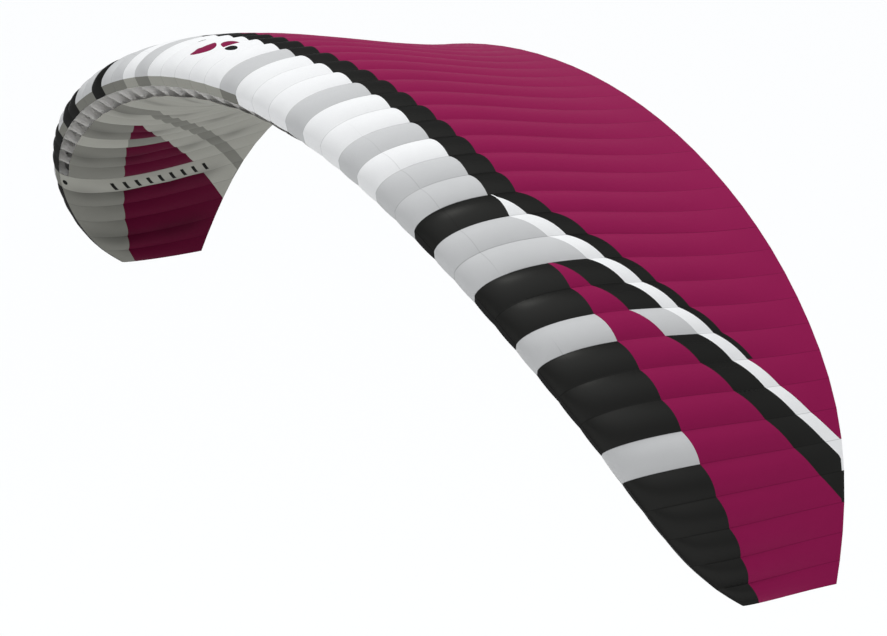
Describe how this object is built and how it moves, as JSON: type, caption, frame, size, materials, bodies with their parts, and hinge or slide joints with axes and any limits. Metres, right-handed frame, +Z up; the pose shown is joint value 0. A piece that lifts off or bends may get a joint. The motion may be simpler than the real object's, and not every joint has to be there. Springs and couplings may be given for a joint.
{
  "type": "paraglider wing",
  "caption": "Inflated paraglider wing: a long arched canopy of thin cloth cells with open air intakes under the nose and tapered tips.",
  "frame": {"origin": "where the middle rib's lines are tied, on the lower sail, 28% of the chord behind the leading edge", "axes": "+X to one wing tip along the span, +Y from the leading edge to the trailing edge, +Z up"},
  "size_m": [9.0368, 2.8458, 2.9111],
  "materials": {
    "upper_cloth": "coated ripstop nylon, magenta, with black, white and grey panels, a soft sheen",
    "lower_cloth": "coated ripstop nylon, pale grey, with grey and magenta panels, matt",
    "rib_cloth": "firm white-grey ripstop nylon, matt"
  },
  "bodies": {
    "root": {"rib_00": "rib_cloth", "rib_01": "rib_cloth", "rib_02": "rib_cloth", "rib_03": "rib_cloth", "rib_04": "rib_cloth", "rib_05": "rib_cloth", "rib_06": "rib_cloth", "rib_07": "rib_cloth", "rib_08": "rib_cloth", "rib_09": "rib_cloth", "rib_10": "rib_cloth", "rib_11": "rib_cloth", "rib_12": "rib_cloth", "rib_13": "rib_cloth", "rib_14": "rib_cloth", "rib_15": "rib_cloth", "rib_16": "rib_cloth", "rib_17": "rib_cloth", "rib_18": "rib_cloth", "rib_19": "rib_cloth", "rib_20": "rib_cloth", "rib_21": "rib_cloth", "rib_22": "rib_cloth", "rib_23": "rib_cloth", "rib_24": "rib_cloth", "rib_25": "rib_cloth", "rib_26": "rib_cloth", "rib_27": "rib_cloth", "rib_28": "rib_cloth", "rib_29": "rib_cloth", "rib_30": "rib_cloth", "rib_31": "rib_cloth", "rib_32": "rib_cloth", "rib_33": "rib_cloth", "rib_34": "rib_cloth", "rib_35": "rib_cloth", "rib_36": "rib_cloth", "rib_37": "rib_cloth", "rib_38": "rib_cloth", "rib_39": "rib_cloth", "rib_40": "rib_cloth", "rib_41": "rib_cloth", "rib_42": "rib_cloth", "rib_43": "rib_cloth", "rib_44": "rib_cloth", "rib_45": "rib_cloth", "rib_46": "rib_cloth", "rib_47": "rib_cloth", "rib_48": "rib_cloth", "rib_49": "rib_cloth", "rib_50": "rib_cloth", "upper_sail_1": "upper_cloth", "lower_sail_1": "lower_cloth", "upper_sail_2": "upper_cloth", "lower_sail_2": "lower_cloth", "upper_sail_3": "upper_cloth", "lower_sail_3": "lower_cloth", "upper_sail_4": "upper_cloth", "lower_sail_4": "lower_cloth"}
  },
  "joints": []
}
